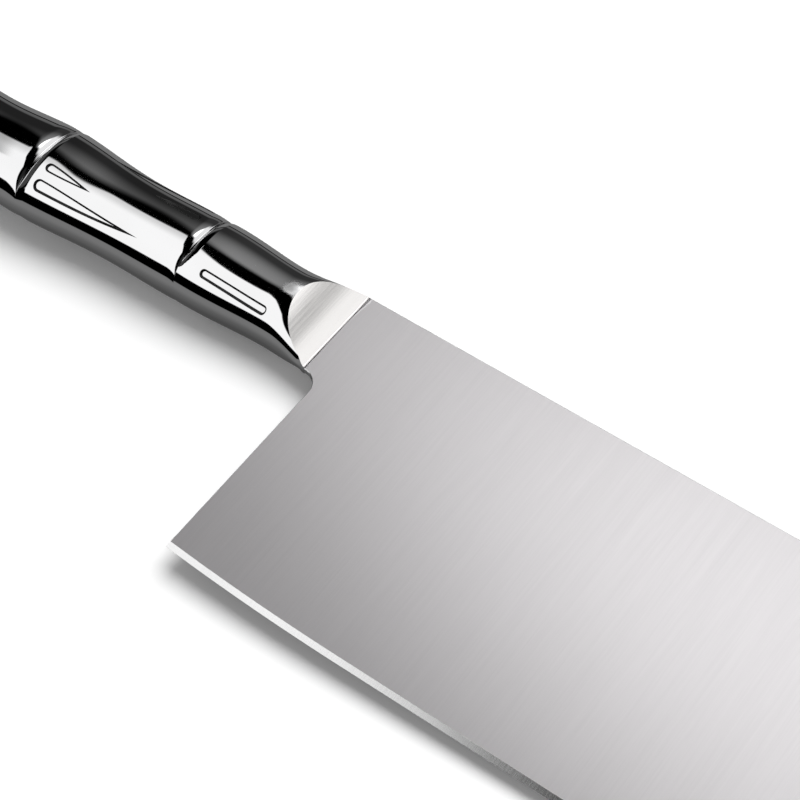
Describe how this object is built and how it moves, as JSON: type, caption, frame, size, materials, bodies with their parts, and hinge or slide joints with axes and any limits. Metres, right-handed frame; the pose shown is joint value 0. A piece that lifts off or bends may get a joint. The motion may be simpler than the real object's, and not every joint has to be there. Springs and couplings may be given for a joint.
{
  "type": "nakiri knife",
  "caption": "Broad straight-edged vegetable knife: rectangular satin steel blade, ground bolster and hollow polished steel handle shaped like a bamboo stalk.",
  "frame": {"origin": "centre of the footprint, on the surface that the knife's handle lies on", "axes": "+X along the knife towards the tip, +Y towards the spine, +Z out of the blade's right face"},
  "size_m": [0.315, 0.0794, 0.019],
  "materials": {
    "satin_steel": "satin, fine grinding lines from the spine to the edge",
    "polished_steel": "mirror polished stainless steel"
  },
  "bodies": {
    "root": {"blade": "satin_steel", "bolster": "polished_steel", "handle_shell_right": "polished_steel", "handle_shell_left": "polished_steel", "butt_cap": "polished_steel"}
  },
  "joints": []
}
